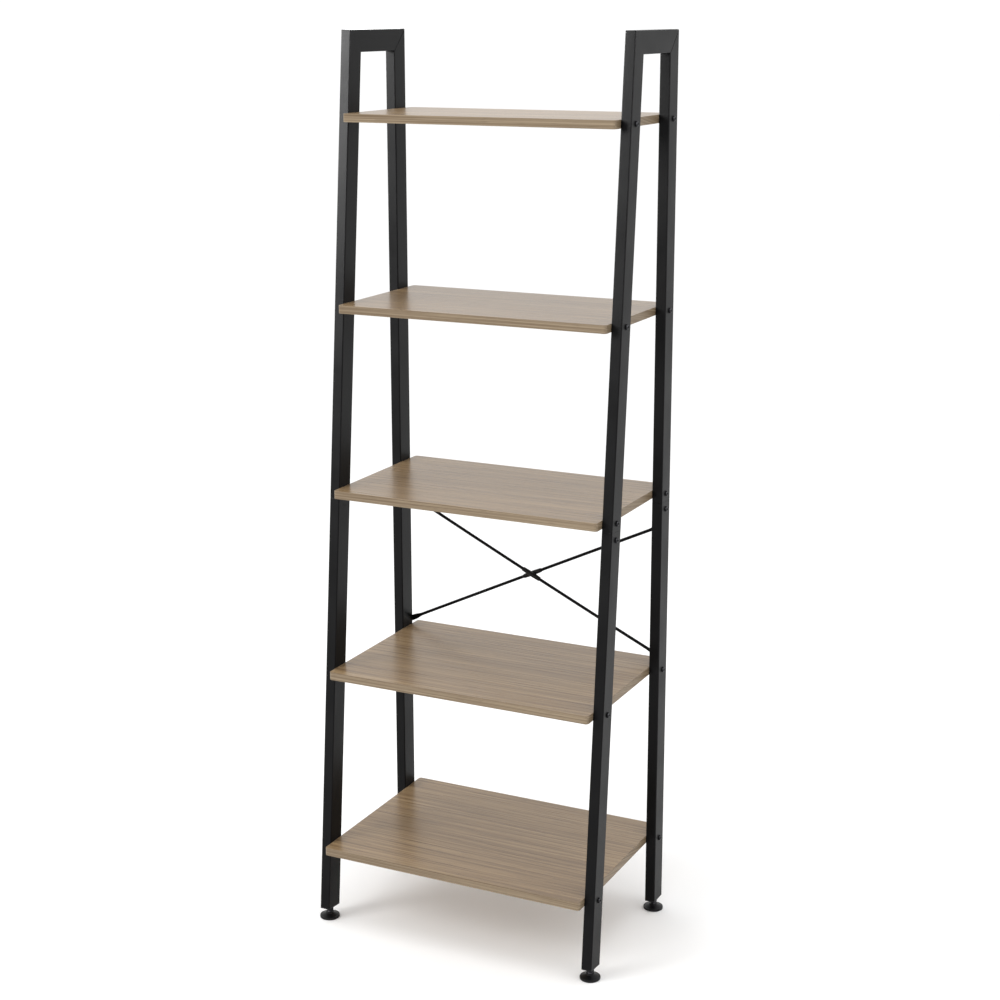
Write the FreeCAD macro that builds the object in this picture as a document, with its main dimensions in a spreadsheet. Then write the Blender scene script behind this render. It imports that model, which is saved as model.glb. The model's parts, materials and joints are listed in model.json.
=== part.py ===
import FreeCAD, Part
import math
import os
import Sketcher
from FreeCAD import Placement, Rotation, Vector

# Five-tier ladder shelf: two side frames of rectangular steel tube, upright at the rear and
# leaning back at the front, with five boards bolted between them that get deeper downwards.
# X runs across the width, Y from front to rear, Z up; the origin is the bottom centre.

sizes = {
    # overall
    "overall_height": 1675, "overall_width": 570, "bottom_board_depth": 380, "top_frame_depth": 200,
    # frame tube, upright across X, deep along Y
    "tube_breadth": 20, "tube_depth": 40, "tube_wall": 1.2, "tube_corner": 2,
    # boards: the lowest one's top face, the gap from the highest one's to the top of the frame,
    # and how much wider the two lower spaces are than the two upper ones
    "board_thickness": 15, "board_overhang": 22, "board_corner": 6, "band_thickness": 1,
    "bottom_board_top": 158, "top_gap": 146, "pitch_step": 2.5,
    # splice between upper and lower posts, under the middle board
    "splice_drop": 7, "splice_reach": 40, "splice_screw_drop": 29.5, "sleeve_wall": 1.5,
    "sleeve_clearance": 0.3, "sleeve_corner": 1.2,
    # button head machine screws and the inserts they thread into
    "screw_diameter": 6, "screw_play": 0.5, "thread_clearance": 0.1, "head_diameter": 10.5,
    "head_height": 3.3, "hex_key": 4, "hex_key_depth": 2, "insert_diameter": 10, "insert_length": 14,
    # crossed brace on the rear face, between the fourth and the middle board
    "rod_diameter": 6, "rod_gap": 0.6, "brace_above": 6, "brace_below": 59,
    "eye_diameter": 15, "eye_thickness": 2.2, "eye_neck": 11, "eye_neck_length": 26,
    "clip_arm": 20, "clip_wall": 2, "clip_clearance": 0.2, "clip_slot": 4.6, "clip_boss": 13,
    "rivet_diameter": 9, "rivet_length": 13, "rivet_flange": 12, "rivet_flange_thickness": 1,
    "brace_screw_length": 14,
    # levelling feet
    "collar_lift": 4, "collar_gap": 2.5, "stud_proud": 14, "plug_lip": 2, "plug_length": 22,
    "plug_clearance": 0.2,
    "foot_thread": 8, "foot_thread_clearance": 0.08, "foot_nut_across": 13, "foot_nut_height": 6.5,
    "foot_nut_fit": 0.1, "collar_across": 13, "collar_height": 4.5,
    "ball_diameter": 11, "ball_height": 7.8, "ball_clearance": 0.3, "pad_diameter": 38,
    "pad_rim": 5, "pad_bevel": 1, "pad_boss": 16, "pad_boss_top": 11, "pad_cone": 3,
}

doc = FreeCAD.newDocument("ladder_shelf")
sheet = doc.addObject("Spreadsheet::Sheet", "Sizes")
for row, (alias, number) in enumerate(sizes.items(), start=1):
    sheet.set(f"A{row}", alias)
    sheet.set(f"B{row}", str(number))
    sheet.setAlias(f"B{row}", alias)

layout = doc.addObject("App::VarSet", "Layout")


def derive(name, expression):
    layout.addProperty("App::PropertyFloat", name)
    layout.setExpression(name, expression)


# lengths that follow from the sizes; the rear posts are upright and the front posts lean
derive("rear_face", "Sizes.bottom_board_depth / 2 - Sizes.board_overhang")
derive("bottom_board_mid", "Sizes.bottom_board_top - Sizes.board_thickness / 2")
derive("lean", "(Sizes.bottom_board_depth - 2 * Sizes.board_overhang - Sizes.top_frame_depth)"
       " / (Sizes.overall_height - Layout.bottom_board_mid)")
derive("stretch", "sqrt(1 + Layout.lean * Layout.lean)")
derive("floor_depth", "Sizes.top_frame_depth + Layout.lean * Sizes.overall_height")
derive("front_axis", "Layout.rear_face - Layout.floor_depth + Sizes.tube_depth / 2 * Layout.stretch")
derive("rear_axis", "Layout.rear_face - Sizes.tube_depth / 2")
derive("post_x", "(Sizes.overall_width - Sizes.tube_breadth) / 2")
derive("board_length", "Sizes.overall_width - 2 * Sizes.tube_breadth")
derive("tube_inside_x", "Sizes.tube_breadth - 2 * Sizes.tube_wall")
derive("tube_inside_y", "Sizes.tube_depth - 2 * Sizes.tube_wall")
derive("inside_corner", "Sizes.tube_corner - Sizes.tube_wall")
derive("board5_mid", "Layout.bottom_board_mid")
derive("board_rise", "Sizes.overall_height - Sizes.top_gap - Sizes.bottom_board_top")
derive("upper_pitch", "(Layout.board_rise - 2 * Sizes.pitch_step) / 4")
derive("lower_pitch", "Layout.upper_pitch + Sizes.pitch_step")
derive("board4_mid", "Layout.board5_mid + Layout.lower_pitch")
derive("board3_mid", "Layout.board4_mid + Layout.lower_pitch")
derive("board2_mid", "Layout.board3_mid + Layout.upper_pitch")
derive("board1_mid", "Layout.board2_mid + Layout.upper_pitch")
for board in range(1, 6):
    derive(f"board{board}_depth", f"Layout.floor_depth - Layout.lean * Layout.board{board}_mid"
           " + 2 * Sizes.board_overhang")
    derive(f"board{board}_front", f"Layout.front_axis + Layout.lean * Layout.board{board}_mid")
derive("splice", "Layout.board3_mid - Sizes.board_thickness / 2 - Sizes.splice_drop")
derive("splice_screw", "Layout.board3_mid - Sizes.splice_screw_drop")
derive("screw_hole", "Sizes.screw_diameter + Sizes.screw_play")
derive("brace_low", "Layout.board4_mid + Sizes.board_thickness / 2 + Sizes.brace_above")
derive("brace_high", "Layout.board3_mid - Sizes.board_thickness / 2 - Sizes.brace_below")
derive("brace_rise", "Layout.brace_high - Layout.brace_low")
derive("brace_angle", "atan(Layout.brace_rise / (2 * Layout.post_x)) / 1 deg")
derive("brace_half", "sqrt(Layout.post_x * Layout.post_x + Layout.brace_rise * Layout.brace_rise / 4)")
derive("rod_rise", "Sizes.rivet_flange_thickness + Sizes.rod_diameter / 2")
derive("rod_bow", "(Sizes.rod_diameter + Sizes.rod_gap) / 2")
derive("clip_diameter", "Sizes.rod_diameter + 2 * Sizes.clip_clearance + 2 * Sizes.clip_wall")
derive("collar_base", "Sizes.pad_boss_top + Sizes.collar_lift")
derive("leg_clearance", "Layout.collar_base + Sizes.collar_height + Sizes.collar_gap + Sizes.plug_lip")
derive("stud_top", "Layout.leg_clearance + Sizes.plug_length + Sizes.stud_proud")
derive("plug_x", "Layout.tube_inside_x - 2 * Sizes.plug_clearance")
derive("plug_y", "Layout.tube_inside_y - 2 * Sizes.plug_clearance")
derive("sleeve_x", "Layout.tube_inside_x - 2 * Sizes.sleeve_clearance")
derive("sleeve_y", "Layout.tube_inside_y - 2 * Sizes.sleeve_clearance")
doc.recompute()


def value(expression):
    return float(layout.evalExpression(expression))


def newBody(label):
    body = doc.addObject("PartDesign::Body", label)
    body.Label = label
    return body


def originPart(body, role):
    return next(part for part in body.Origin.OriginFeatures if part.Role == role)


def newSketch(body, name, plane, offset="0"):
    sketch = body.newObject("Sketcher::SketchObject", name)
    sketch.AttachmentSupport = (originPart(body, plane), "")
    sketch.MapMode = "FlatFace"
    sketch.setExpression("AttachmentOffset.Base.z", offset)
    return sketch


def bindNumber(sketch, kind, args, expression):
    number = value(expression)
    index = sketch.addConstraint(Sketcher.Constraint(kind, *args, number))
    sketch.setExpression(f"Constraints[{index}]", expression)


def pinPoint(sketch, edge, end, x, y):
    # holds one end of an edge at (x, y) from the sketch origin
    for kind, expression in (("DistanceX", x), ("DistanceY", y)):
        bindNumber(sketch, kind, (-1, 1, edge, end), expression)


def addPolygon(sketch, points):
    corners = [Vector(value(x), value(y), 0) for x, y in points]
    count = len(corners)
    first = None
    for i in range(count):
        edge = sketch.addGeometry(Part.LineSegment(corners[i], corners[(i + 1) % count]), False)
        first = edge if first is None else first
    for i in range(count):
        sketch.addConstraint(Sketcher.Constraint("Coincident", first + i, 2, first + (i + 1) % count, 1))
        pinPoint(sketch, first + i, 1, *points[i])


def addCircle(sketch, x, y, radius):
    centre = Vector(value(x), value(y), 0)
    edge = sketch.addGeometry(Part.Circle(centre, Vector(0, 0, 1), value(radius)), False)
    bindNumber(sketch, "Radius", (edge,), radius)
    pinPoint(sketch, edge, 3, x, y)


def addRectangle(sketch, width, depth, x="0", y="0"):
    left, right = f"{x} - ({width}) / 2", f"{x} + ({width}) / 2"
    low, high = f"{y} - ({depth}) / 2", f"{y} + ({depth}) / 2"
    addPolygon(sketch, [(left, low), (right, low), (right, high), (left, high)])


def addRoundedRectangle(sketch, width, depth, radius, x="0", y="0"):
    left, right = f"{x} - ({width}) / 2", f"{x} + ({width}) / 2"
    low, high = f"{y} - ({depth}) / 2", f"{y} + ({depth}) / 2"
    r = f"({radius})"
    sides = [((f"{left} + {r}", low), (f"{right} - {r}", low)),
             ((right, f"{low} + {r}"), (right, f"{high} - {r}")),
             ((f"{right} - {r}", high), (f"{left} + {r}", high)),
             ((left, f"{high} - {r}"), (left, f"{low} + {r}"))]
    lines = []
    for start, end in sides:
        points = [Vector(value(px), value(py), 0) for px, py in (start, end)]
        line = sketch.addGeometry(Part.LineSegment(*points), False)
        pinPoint(sketch, line, 1, *start)
        pinPoint(sketch, line, 2, *end)
        lines.append(line)
    centres = [(f"{right} - {r}", f"{low} + {r}"), (f"{right} - {r}", f"{high} - {r}"),
               (f"{left} + {r}", f"{high} - {r}"), (f"{left} + {r}", f"{low} + {r}")]
    for i, (px, py) in enumerate(centres):
        circle = Part.Circle(Vector(value(px), value(py), 0), Vector(0, 0, 1), value(radius))
        begin = math.radians(-90 + 90 * i)
        arc = sketch.addGeometry(Part.ArcOfCircle(circle, begin, begin + math.pi / 2), False)
        sketch.addConstraint(Sketcher.Constraint("Coincident", lines[i], 2, arc, 1))
        sketch.addConstraint(Sketcher.Constraint("Coincident", arc, 2, lines[(i + 1) % 4], 1))
        bindNumber(sketch, "Radius", (arc,), radius)


def addHexagon(sketch, x, y, across):
    # flats lie left and right
    points = []
    corner = f"({across}) / sqrt(3)"
    for step in range(6):
        turn = 30 + 60 * step
        points.append((f"{x} + {corner} * cos({turn})", f"{y} + {corner} * sin({turn})"))
    addPolygon(sketch, points)


def pad(body, name, sketch, length, both=False, down=False):
    feature = body.newObject("PartDesign::Pad", name)
    feature.Profile = sketch
    feature.setExpression("Length", length)
    feature.SideType = "Symmetric" if both else "One side"
    feature.Reversed = down
    return feature


def cut(body, name, sketch, length=None, both=False, flip=False):
    before = body.Tip
    doc.recompute()
    start = before.Shape.Volume
    feature = body.newObject("PartDesign::Pocket", name)
    feature.Profile = sketch
    if length is None:
        feature.Type = "ThroughAll"
    else:
        feature.setExpression("Length", length)
    feature.SideType = "Symmetric" if both else "One side"
    feature.Reversed = flip
    doc.recompute()
    if feature.Shape.Volume > start - 1e-6:
        raise RuntimeError(f"{body.Label} {name} removes nothing")
    return feature


def revolve(body, name, sketch, axis):
    feature = body.newObject("PartDesign::Revolution", name)
    feature.Profile = sketch
    feature.ReferenceAxis = (sketch, [axis])
    feature.Angle = 360
    return feature


def place(thing, x="0", y="0", z="0", angle=None, axis=None):
    if angle is not None:
        thing.Placement = Placement(Vector(0, 0, 0), Rotation(axis, 1))
        thing.setExpression("Placement.Rotation.Angle", angle)
    thing.setExpression("Placement.Base.x", x)
    thing.setExpression("Placement.Base.y", y)
    thing.setExpression("Placement.Base.z", z)


leanAngle = "-atan(Layout.lean)"
columns = [(side, sign, row) for side, sign in (("left", "-"), ("right", "")) for row in ("front", "rear")]


def alongPost(row, height):
    # distance along the post's axis from the floor to a height
    return f"({height}) * Layout.stretch" if row == "front" else f"({height})"


def placeOnColumn(thing, sign, row):
    # the body's Z becomes the post's axis, from where that axis meets the floor
    if row == "front":
        place(thing, f"{sign}Layout.post_x", "Layout.front_axis", "0", leanAngle, Vector(1, 0, 0))
    else:
        place(thing, f"{sign}Layout.post_x", "Layout.rear_axis", "0")


def drillAcross(body, name, row, heights, radius):
    # round holes along X through both walls, on the post's axis
    sketch = newSketch(body, name + "_sketch", "YZ_Plane")
    for height in heights:
        addCircle(sketch, "0", alongPost(row, height), radius)
    cut(body, name, sketch, None, True)


def buildTube(body, plane, start, length, flip=True):
    outline = newSketch(body, "outline", plane, start)
    addRoundedRectangle(outline, "Sizes.tube_breadth", "Sizes.tube_depth", "Sizes.tube_corner")
    pad(body, "tube", outline, length)
    bore = newSketch(body, "inside", plane, start)
    addRoundedRectangle(bore, "Layout.tube_inside_x", "Layout.tube_inside_y", "Layout.inside_corner")
    cut(body, "hollow", bore, length, False, flip)


# ---- side frames ----
def buildUpperPost(side, sign, row):
    body = newBody(f"{side}_{row}_upper_post")
    start = alongPost(row, "Layout.splice")
    # outer edge of the mitre: the post's outer face meets the top face of the rail
    if row == "front":
        top = "(Sizes.overall_height * Layout.stretch - Sizes.tube_depth / 2 * Layout.lean)"
        drop = "Sizes.tube_depth * tan((90 - atan(Layout.lean) / 1 deg) / 2)"
        outer, inner = "-Sizes.tube_depth / 2", "Sizes.tube_depth / 2"
    else:
        top = "Sizes.overall_height"
        drop = "Sizes.tube_depth"
        outer, inner = "Sizes.tube_depth / 2", "-Sizes.tube_depth / 2"
    buildTube(body, "XY_Plane", start, f"{top} - {start}")
    mitre = newSketch(body, "mitre_sketch", "YZ_Plane")
    addPolygon(mitre, [(outer, top), (inner, f"{top} - {drop}"), (f"{inner} * 1.2", f"{top} - {drop}"),
                       (f"{inner} * 1.2", f"{top} + 5"), (outer, f"{top} + 5")])
    cut(body, "mitre", mitre, None, True)
    heights = ["Layout.board1_mid", "Layout.board2_mid", "Layout.board3_mid"]
    drillAcross(body, "board_screw_holes", row, heights, "Layout.screw_hole / 2")
    placeOnColumn(body, sign, row)
    return body


def buildTopRail(side, sign):
    # local Z runs to the front; X of the sketch is the rail's breadth, Y its height
    body = newBody(f"{side}_top_rail")
    buildTube(body, "XZ_Plane", "0", "Sizes.top_frame_depth")
    # front corner leans back, rear corner is square
    drop = "Sizes.tube_depth * tan((90 - atan(Layout.lean) / 1 deg) / 2)"
    half = "Sizes.tube_depth / 2"
    depth = "Sizes.top_frame_depth"
    front = newSketch(body, "front_mitre_sketch", "YZ_Plane")
    addPolygon(front, [(f"-{depth}", half), (f"-{depth} + {drop}", f"-{half}"),
                       (f"-{depth} + {drop}", f"-{half} - 5"), (f"-{depth} - 5", f"-{half} - 5"),
                       (f"-{depth} - 5", half)])
    cut(body, "front_mitre", front, None, True)
    rear = newSketch(body, "rear_mitre_sketch", "YZ_Plane")
    addPolygon(rear, [("0", half), ("-Sizes.tube_depth", f"-{half}"), ("-Sizes.tube_depth", f"-{half} - 5"),
                      ("5", f"-{half} - 5"), ("5", half)])
    cut(body, "rear_mitre", rear, None, True)
    place(body, f"{sign}Layout.post_x", "Layout.rear_face", "Sizes.overall_height - Sizes.tube_depth / 2")
    return body


def buildLowerPost(side, sign, row):
    body = newBody(f"{side}_{row}_lower_post")
    start = alongPost(row, "Layout.leg_clearance")
    buildTube(body, "XY_Plane", start, f"{alongPost(row, 'Layout.splice')} - {start}")
    heights = ["Layout.board4_mid", "Layout.board5_mid", "Layout.splice_screw"]
    drillAcross(body, "screw_holes", row, heights, "Layout.screw_hole / 2")
    if row == "rear":
        # one wall only: the brace's rivet nuts sit in the rear face
        rivets = newSketch(body, "rivet_sketch", "XZ_Plane", "-Sizes.tube_depth / 2")
        for height in ("Layout.brace_low", "Layout.brace_high"):
            addCircle(rivets, "0", height, "Sizes.rivet_diameter / 2")
        cut(body, "rivet_holes", rivets, "Sizes.tube_wall * 3", False, True)
    placeOnColumn(body, sign, row)
    return body


def buildSleeve(side, sign, row):
    body = newBody(f"{side}_{row}_joint_sleeve")
    middle = alongPost(row, "Layout.splice")
    start = f"{middle} - Sizes.splice_reach"
    outline = newSketch(body, "outline", "XY_Plane", start)
    addRoundedRectangle(outline, "Layout.sleeve_x", "Layout.sleeve_y", "Sizes.sleeve_corner")
    pad(body, "tube", outline, "2 * Sizes.splice_reach")
    bore = newSketch(body, "inside", "XY_Plane", start)
    addRectangle(bore, "Layout.sleeve_x - 2 * Sizes.sleeve_wall", "Layout.sleeve_y - 2 * Sizes.sleeve_wall")
    cut(body, "hollow", bore, "2 * Sizes.splice_reach", False, True)
    drillAcross(body, "board_screw_hole", row, ["Layout.board3_mid"], "Layout.screw_hole / 2")
    tapped = "Sizes.screw_diameter / 2 + Sizes.thread_clearance"
    drillAcross(body, "tapped_hole", row, ["Layout.splice_screw"], tapped)
    placeOnColumn(body, sign, row)
    return body


nodes = []
for side, sign, row in columns:
    nodes.append(buildUpperPost(side, sign, row))
    nodes.append(buildLowerPost(side, sign, row))
    nodes.append(buildSleeve(side, sign, row))
for side, sign in (("left", "-"), ("right", "")):
    nodes.append(buildTopRail(side, sign))


# ---- boards ----
def drillBoardEnds(body, board, depth):
    # blind holes in both end faces for the threaded inserts
    radius = "Sizes.insert_diameter / 2 + Sizes.thread_clearance"
    ends = (("left", "-Layout.board_length / 2", True), ("right", "Layout.board_length / 2", False))
    for end, offset, flip in ends:
        sketch = newSketch(body, f"{end}_holes_sketch", "YZ_Plane", offset)
        for y in (f"Layout.board{board}_front", "Layout.rear_axis"):
            # the body's own origin is the middle of the board's rear edge
            addCircle(sketch, f"{y} - Sizes.bottom_board_depth / 2", "0", radius)
        cut(body, f"{end}_holes", sketch, depth, False, flip)


def boardOutline(body, name, board, inset):
    sketch = newSketch(body, name, "XY_Plane")
    depth = f"Layout.board{board}_depth"
    addRoundedRectangle(sketch, f"Layout.board_length - 2 * {inset}", f"{depth} - 2 * {inset}",
                        f"Sizes.board_corner - {inset}", "0", f"-{depth} / 2")
    return sketch


def buildBoard(board):
    body = newBody(f"shelf_{board}_board")
    sketch = boardOutline(body, "outline", board, "Sizes.band_thickness")
    pad(body, "panel", sketch, "Sizes.board_thickness", True)
    drillBoardEnds(body, board, "Sizes.insert_length")
    place(body, "0", "Sizes.bottom_board_depth / 2", f"Layout.board{board}_mid")
    return body


def buildBand(board):
    body = newBody(f"shelf_{board}_edge_band")
    pad(body, "block", boardOutline(body, "outline", board, "0"), "Sizes.board_thickness", True)
    cut(body, "inside", boardOutline(body, "inside_sketch", board, "Sizes.band_thickness"), None, True)
    drillBoardEnds(body, board, "Sizes.insert_length")
    place(body, "0", "Sizes.bottom_board_depth / 2", f"Layout.board{board}_mid")
    return body


for board in range(1, 6):
    nodes.append(buildBoard(board))
    nodes.append(buildBand(board))


# ---- fasteners ----
def buildScrew(label, length):
    # button head screw along X: the head's underside is at the origin and the shank runs to -X
    body = newBody(label)
    sketch = newSketch(body, "profile", "XY_Plane")
    shank, head, top = "Sizes.screw_diameter / 2", "Sizes.head_diameter", "Sizes.head_height"
    addPolygon(sketch, [(f"-({length})", "0"), (f"-({length})", f"{shank} - 0.6"), (f"-({length}) + 0.6", shank),
                        ("0", shank), ("0", f"{head} / 2"), (f"{top} * 0.3", f"{head} / 2"),
                        (f"{top} * 0.8", f"{head} * 0.36"), (top, f"{head} * 0.26"), (top, "0")])
    revolve(body, "turned", sketch, "H_Axis")
    socket = newSketch(body, "key_sketch", "YZ_Plane", "Sizes.head_height")
    addHexagon(socket, "0", "0", "Sizes.hex_key")
    cut(body, "key_socket", socket, "Sizes.hex_key_depth")
    return body


def buildInsert(label):
    # sleeve nut along X: the open end is at the origin and the body runs to -X
    body = newBody(label)
    sketch = newSketch(body, "profile", "XY_Plane")
    bore = "Sizes.screw_diameter / 2 + Sizes.thread_clearance"
    outer = "Sizes.insert_diameter / 2"
    addPolygon(sketch, [("0", bore), ("0", outer), ("-Sizes.insert_length + 1", outer),
                        ("-Sizes.insert_length", f"{outer} - 1"), ("-Sizes.insert_length", bore)])
    revolve(body, "turned", sketch, "H_Axis")
    return body


def buildRivetNut(label):
    # along X: the flange sits on the face at the origin and the body runs to -X
    body = newBody(label)
    sketch = newSketch(body, "profile", "XY_Plane")
    bore = "Sizes.screw_diameter / 2 + Sizes.thread_clearance"
    outer = "Sizes.rivet_diameter / 2 - Sizes.thread_clearance"
    top, rim = "Sizes.rivet_flange_thickness", "Sizes.rivet_flange / 2"
    addPolygon(sketch, [(top, bore), (top, rim), ("0", rim), ("0", outer), ("-Sizes.rivet_length", outer),
                        ("-Sizes.rivet_length", bore)])
    revolve(body, "turned", sketch, "H_Axis")
    return body


def groupOf(label, source, spots):
    # one node of identical separate pieces; a spot is x, y, z and a turn about Z
    copies = []
    for i, (x, y, z, turn) in enumerate(spots, start=1):
        link = doc.addObject("App::Link", f"{label}_{i}")
        link.LinkedObject = source
        place(link, x, y, z, turn, Vector(0, 0, 1))
        copies.append(link)
    group = doc.addObject("Part::Compound", label)
    group.Label = label
    group.Links = copies
    return group


boardScrew = buildScrew("board_screw_pattern", "Sizes.tube_breadth + Sizes.insert_length - 2")
jointScrew = buildScrew("joint_screw_pattern", "Sizes.tube_breadth")
braceScrew = buildScrew("brace_screw_pattern", "Sizes.brace_screw_length")
insert = buildInsert("insert_pattern")
rivetNut = buildRivetNut("rivet_nut_pattern")


def bothSides(x, spots):
    return [(f"{sign}{x}", y, z, turn) for sign, turn in (("-", "180"), ("", "0")) for y, z in spots]


for board in range(1, 6):
    spots = [(y, f"Layout.board{board}_mid") for y in (f"Layout.board{board}_front", "Layout.rear_axis")]
    nodes.append(groupOf(f"shelf_{board}_screws", boardScrew, bothSides("Sizes.overall_width / 2", spots)))
    nodes.append(groupOf(f"shelf_{board}_inserts", insert, bothSides("Layout.board_length / 2", spots)))

spliceSpots = [("Layout.front_axis + Layout.lean * Layout.splice_screw", "Layout.splice_screw"),
               ("Layout.rear_axis", "Layout.splice_screw")]
nodes.append(groupOf("post_joint_screws", jointScrew, bothSides("Sizes.overall_width / 2", spliceSpots)))


# ---- crossed brace on the rear face ----
def buildRod(label, bow, turn):
    # the rod runs along X, its eyes lie against the rivet nut flanges, and it bows where the two cross
    body = newBody(label)
    reach = "(Layout.brace_half - Sizes.eye_neck_length / 2)"
    path = newSketch(body, "path", "XY_Plane")
    sag = value(bow)
    half = value(reach)
    rise = value("Layout.rod_rise")
    arc = Part.Arc(Vector(-half, rise, 0), Vector(0, rise + sag, 0), Vector(half, rise, 0))
    edge = path.addGeometry(arc, False)
    ends = (1, 2) if path.getPoint(edge, 1).x < 0 else (2, 1)
    pinPoint(path, edge, ends[0], f"-{reach}", "Layout.rod_rise")
    pinPoint(path, edge, ends[1], reach, "Layout.rod_rise")
    radius = f"({reach} * {reach} + Layout.rod_bow * Layout.rod_bow) / (2 * Layout.rod_bow)"
    bindNumber(path, "Radius", (edge,), radius)
    # an arc is drawn anticlockwise, so the section stands at whichever end it starts from
    first = "-" if ends[0] == 1 else ""
    section = newSketch(body, "section", "YZ_Plane", f"{first}{reach}")
    addCircle(section, "Layout.rod_rise", "0", "Sizes.rod_diameter / 2")
    doc.recompute()
    rod = body.newObject("PartDesign::AdditivePipe", "rod")
    rod.Profile = section
    rod.Spine = (path, ["Edge1"])
    flange = "Sizes.rivet_flange_thickness"
    for end, side in (("left", "-"), ("right", "")):
        centre = f"{side}Layout.brace_half"
        eye = newSketch(body, f"{end}_eye_sketch", "XZ_Plane", f"-{flange}")
        addCircle(eye, centre, "0", "Sizes.eye_diameter / 2")
        pad(body, f"{end}_eye", eye, "Sizes.eye_thickness", False, True)
        neck = newSketch(body, f"{end}_neck_sketch", "XZ_Plane", f"-{flange}")
        middle = f"{side}(Layout.brace_half - Sizes.eye_neck_length / 2)"
        addRectangle(neck, "Sizes.eye_neck_length", "Sizes.eye_neck", middle, "0")
        pad(body, f"{end}_neck", neck, "Sizes.eye_thickness", False, True)
    holes = newSketch(body, "eye_holes_sketch", "XZ_Plane")
    for side in ("-", ""):
        addCircle(holes, f"{side}Layout.brace_half", "0", "Layout.screw_hole / 2")
    cut(body, "eye_holes", holes, None, True)
    place(body, "0", "Layout.rear_face", "(Layout.brace_low + Layout.brace_high) / 2", turn, Vector(0, 1, 0))
    return body


def turnedSketch(body, name, turn):
    # a plane square to a rod, turned about the Y axis
    sketch = newSketch(body, name, "YZ_Plane")
    sketch.AttachmentOffset = Placement(Vector(0, 0, 0), Rotation(Vector(1, 0, 0), 1))
    sketch.setExpression("AttachmentOffset.Rotation.Angle", turn)
    doc.recompute()
    return sketch


def buildClip():
    # two crossed tubes that snap over the rods where they pass each other, with a round boss
    body = newBody("brace_cross_clip")
    levels = (("near", "Layout.rod_rise - Layout.rod_bow", "Layout.brace_angle", "-1"),
              ("far", "Layout.rod_rise + Layout.rod_bow", "-Layout.brace_angle", "1"))
    boss = newSketch(body, "boss_sketch", "XZ_Plane", "-Layout.rod_rise")
    addCircle(boss, "0", "0", "Sizes.clip_boss / 2")
    pad(body, "boss", boss, "2 * Layout.rod_bow + Sizes.rod_diameter", True)
    for name, level, turn, way in levels:
        # each arm's own plane is square to its rod
        arm = turnedSketch(body, f"{name}_arm_sketch", turn)
        addCircle(arm, level, "0", "Layout.clip_diameter / 2")
        pad(body, f"{name}_arm", arm, "2 * Sizes.clip_arm", True)
    for name, level, turn, way in levels:
        bore = turnedSketch(body, f"{name}_bore_sketch", turn)
        addCircle(bore, level, "0", "Sizes.rod_diameter / 2 + Sizes.clip_clearance")
        cut(body, f"{name}_bore", bore, None, True)
        mouth = turnedSketch(body, f"{name}_mouth_sketch", turn)
        middle = f"{level} + {way} * Layout.clip_diameter / 2"
        addRectangle(mouth, "Layout.clip_diameter", "Sizes.clip_slot", middle, "0")
        cut(body, f"{name}_mouth", mouth, None, True)
    place(body, "0", "Layout.rear_face", "(Layout.brace_low + Layout.brace_high) / 2")
    return body


nodes.append(buildRod("brace_rod_left_high", "-Layout.rod_bow", "Layout.brace_angle"))
nodes.append(buildRod("brace_rod_right_high", "Layout.rod_bow", "-Layout.brace_angle"))
nodes.append(buildClip())


def braceSpots(y):
    heights = ("Layout.brace_low", "Layout.brace_high")
    return [(f"{sign}Layout.post_x", y, z, "90") for sign in ("-", "") for z in heights]


eyeFace = "Layout.rear_face + Sizes.rivet_flange_thickness + Sizes.eye_thickness"
nodes.append(groupOf("brace_screws", braceScrew, braceSpots(eyeFace)))
nodes.append(groupOf("brace_rivet_nuts", rivetNut, braceSpots("Layout.rear_face")))


# ---- levelling feet ----
def buildPlug(side, sign, row):
    body = newBody(f"{side}_{row}_foot_plug")
    end = alongPost(row, "Layout.leg_clearance")
    lip = newSketch(body, "lip_sketch", "XY_Plane", end)
    addRoundedRectangle(lip, "Sizes.tube_breadth", "Sizes.tube_depth", "Sizes.tube_corner")
    pad(body, "lip", lip, "Sizes.plug_lip", False, True)
    block = newSketch(body, "block_sketch", "XY_Plane", end)
    addRoundedRectangle(block, "Layout.plug_x", "Layout.plug_y", "Sizes.sleeve_corner")
    pad(body, "block", block, "Sizes.plug_length")
    hole = newSketch(body, "stud_hole_sketch", "XY_Plane")
    addCircle(hole, "0", "0", "Sizes.foot_thread / 2 + Sizes.ball_clearance")
    cut(body, "stud_hole", hole, None, False, True)
    seat = newSketch(body, "nut_seat_sketch", "XY_Plane", f"{end} + Sizes.plug_length")
    addHexagon(seat, "0", "0", "Sizes.foot_nut_across + 2 * Sizes.foot_nut_fit")
    cut(body, "nut_seat", seat, "Sizes.foot_nut_height")
    placeOnColumn(body, sign, row)
    return body


def buildFootNut(side, sign, row):
    body = newBody(f"{side}_{row}_foot_nut")
    top = f"{alongPost(row, 'Layout.leg_clearance')} + Sizes.plug_length"
    outline = newSketch(body, "outline", "XY_Plane", top)
    addHexagon(outline, "0", "0", "Sizes.foot_nut_across")
    pad(body, "block", outline, "Sizes.foot_nut_height", False, True)
    thread = newSketch(body, "thread_sketch", "XY_Plane", top)
    addCircle(thread, "0", "0", "Sizes.foot_thread / 2 + Sizes.foot_thread_clearance")
    cut(body, "thread", thread, "Sizes.foot_nut_height")
    placeOnColumn(body, sign, row)
    return body


def addBall(body, kind, name, height, radius):
    ball = body.newObject(kind, name)
    ball.AttachmentSupport = (originPart(body, "XY_Plane"), "")
    ball.MapMode = "FlatFace"
    ball.setExpression("AttachmentOffset.Base.z", height)
    ball.setExpression("Radius", radius)


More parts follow.
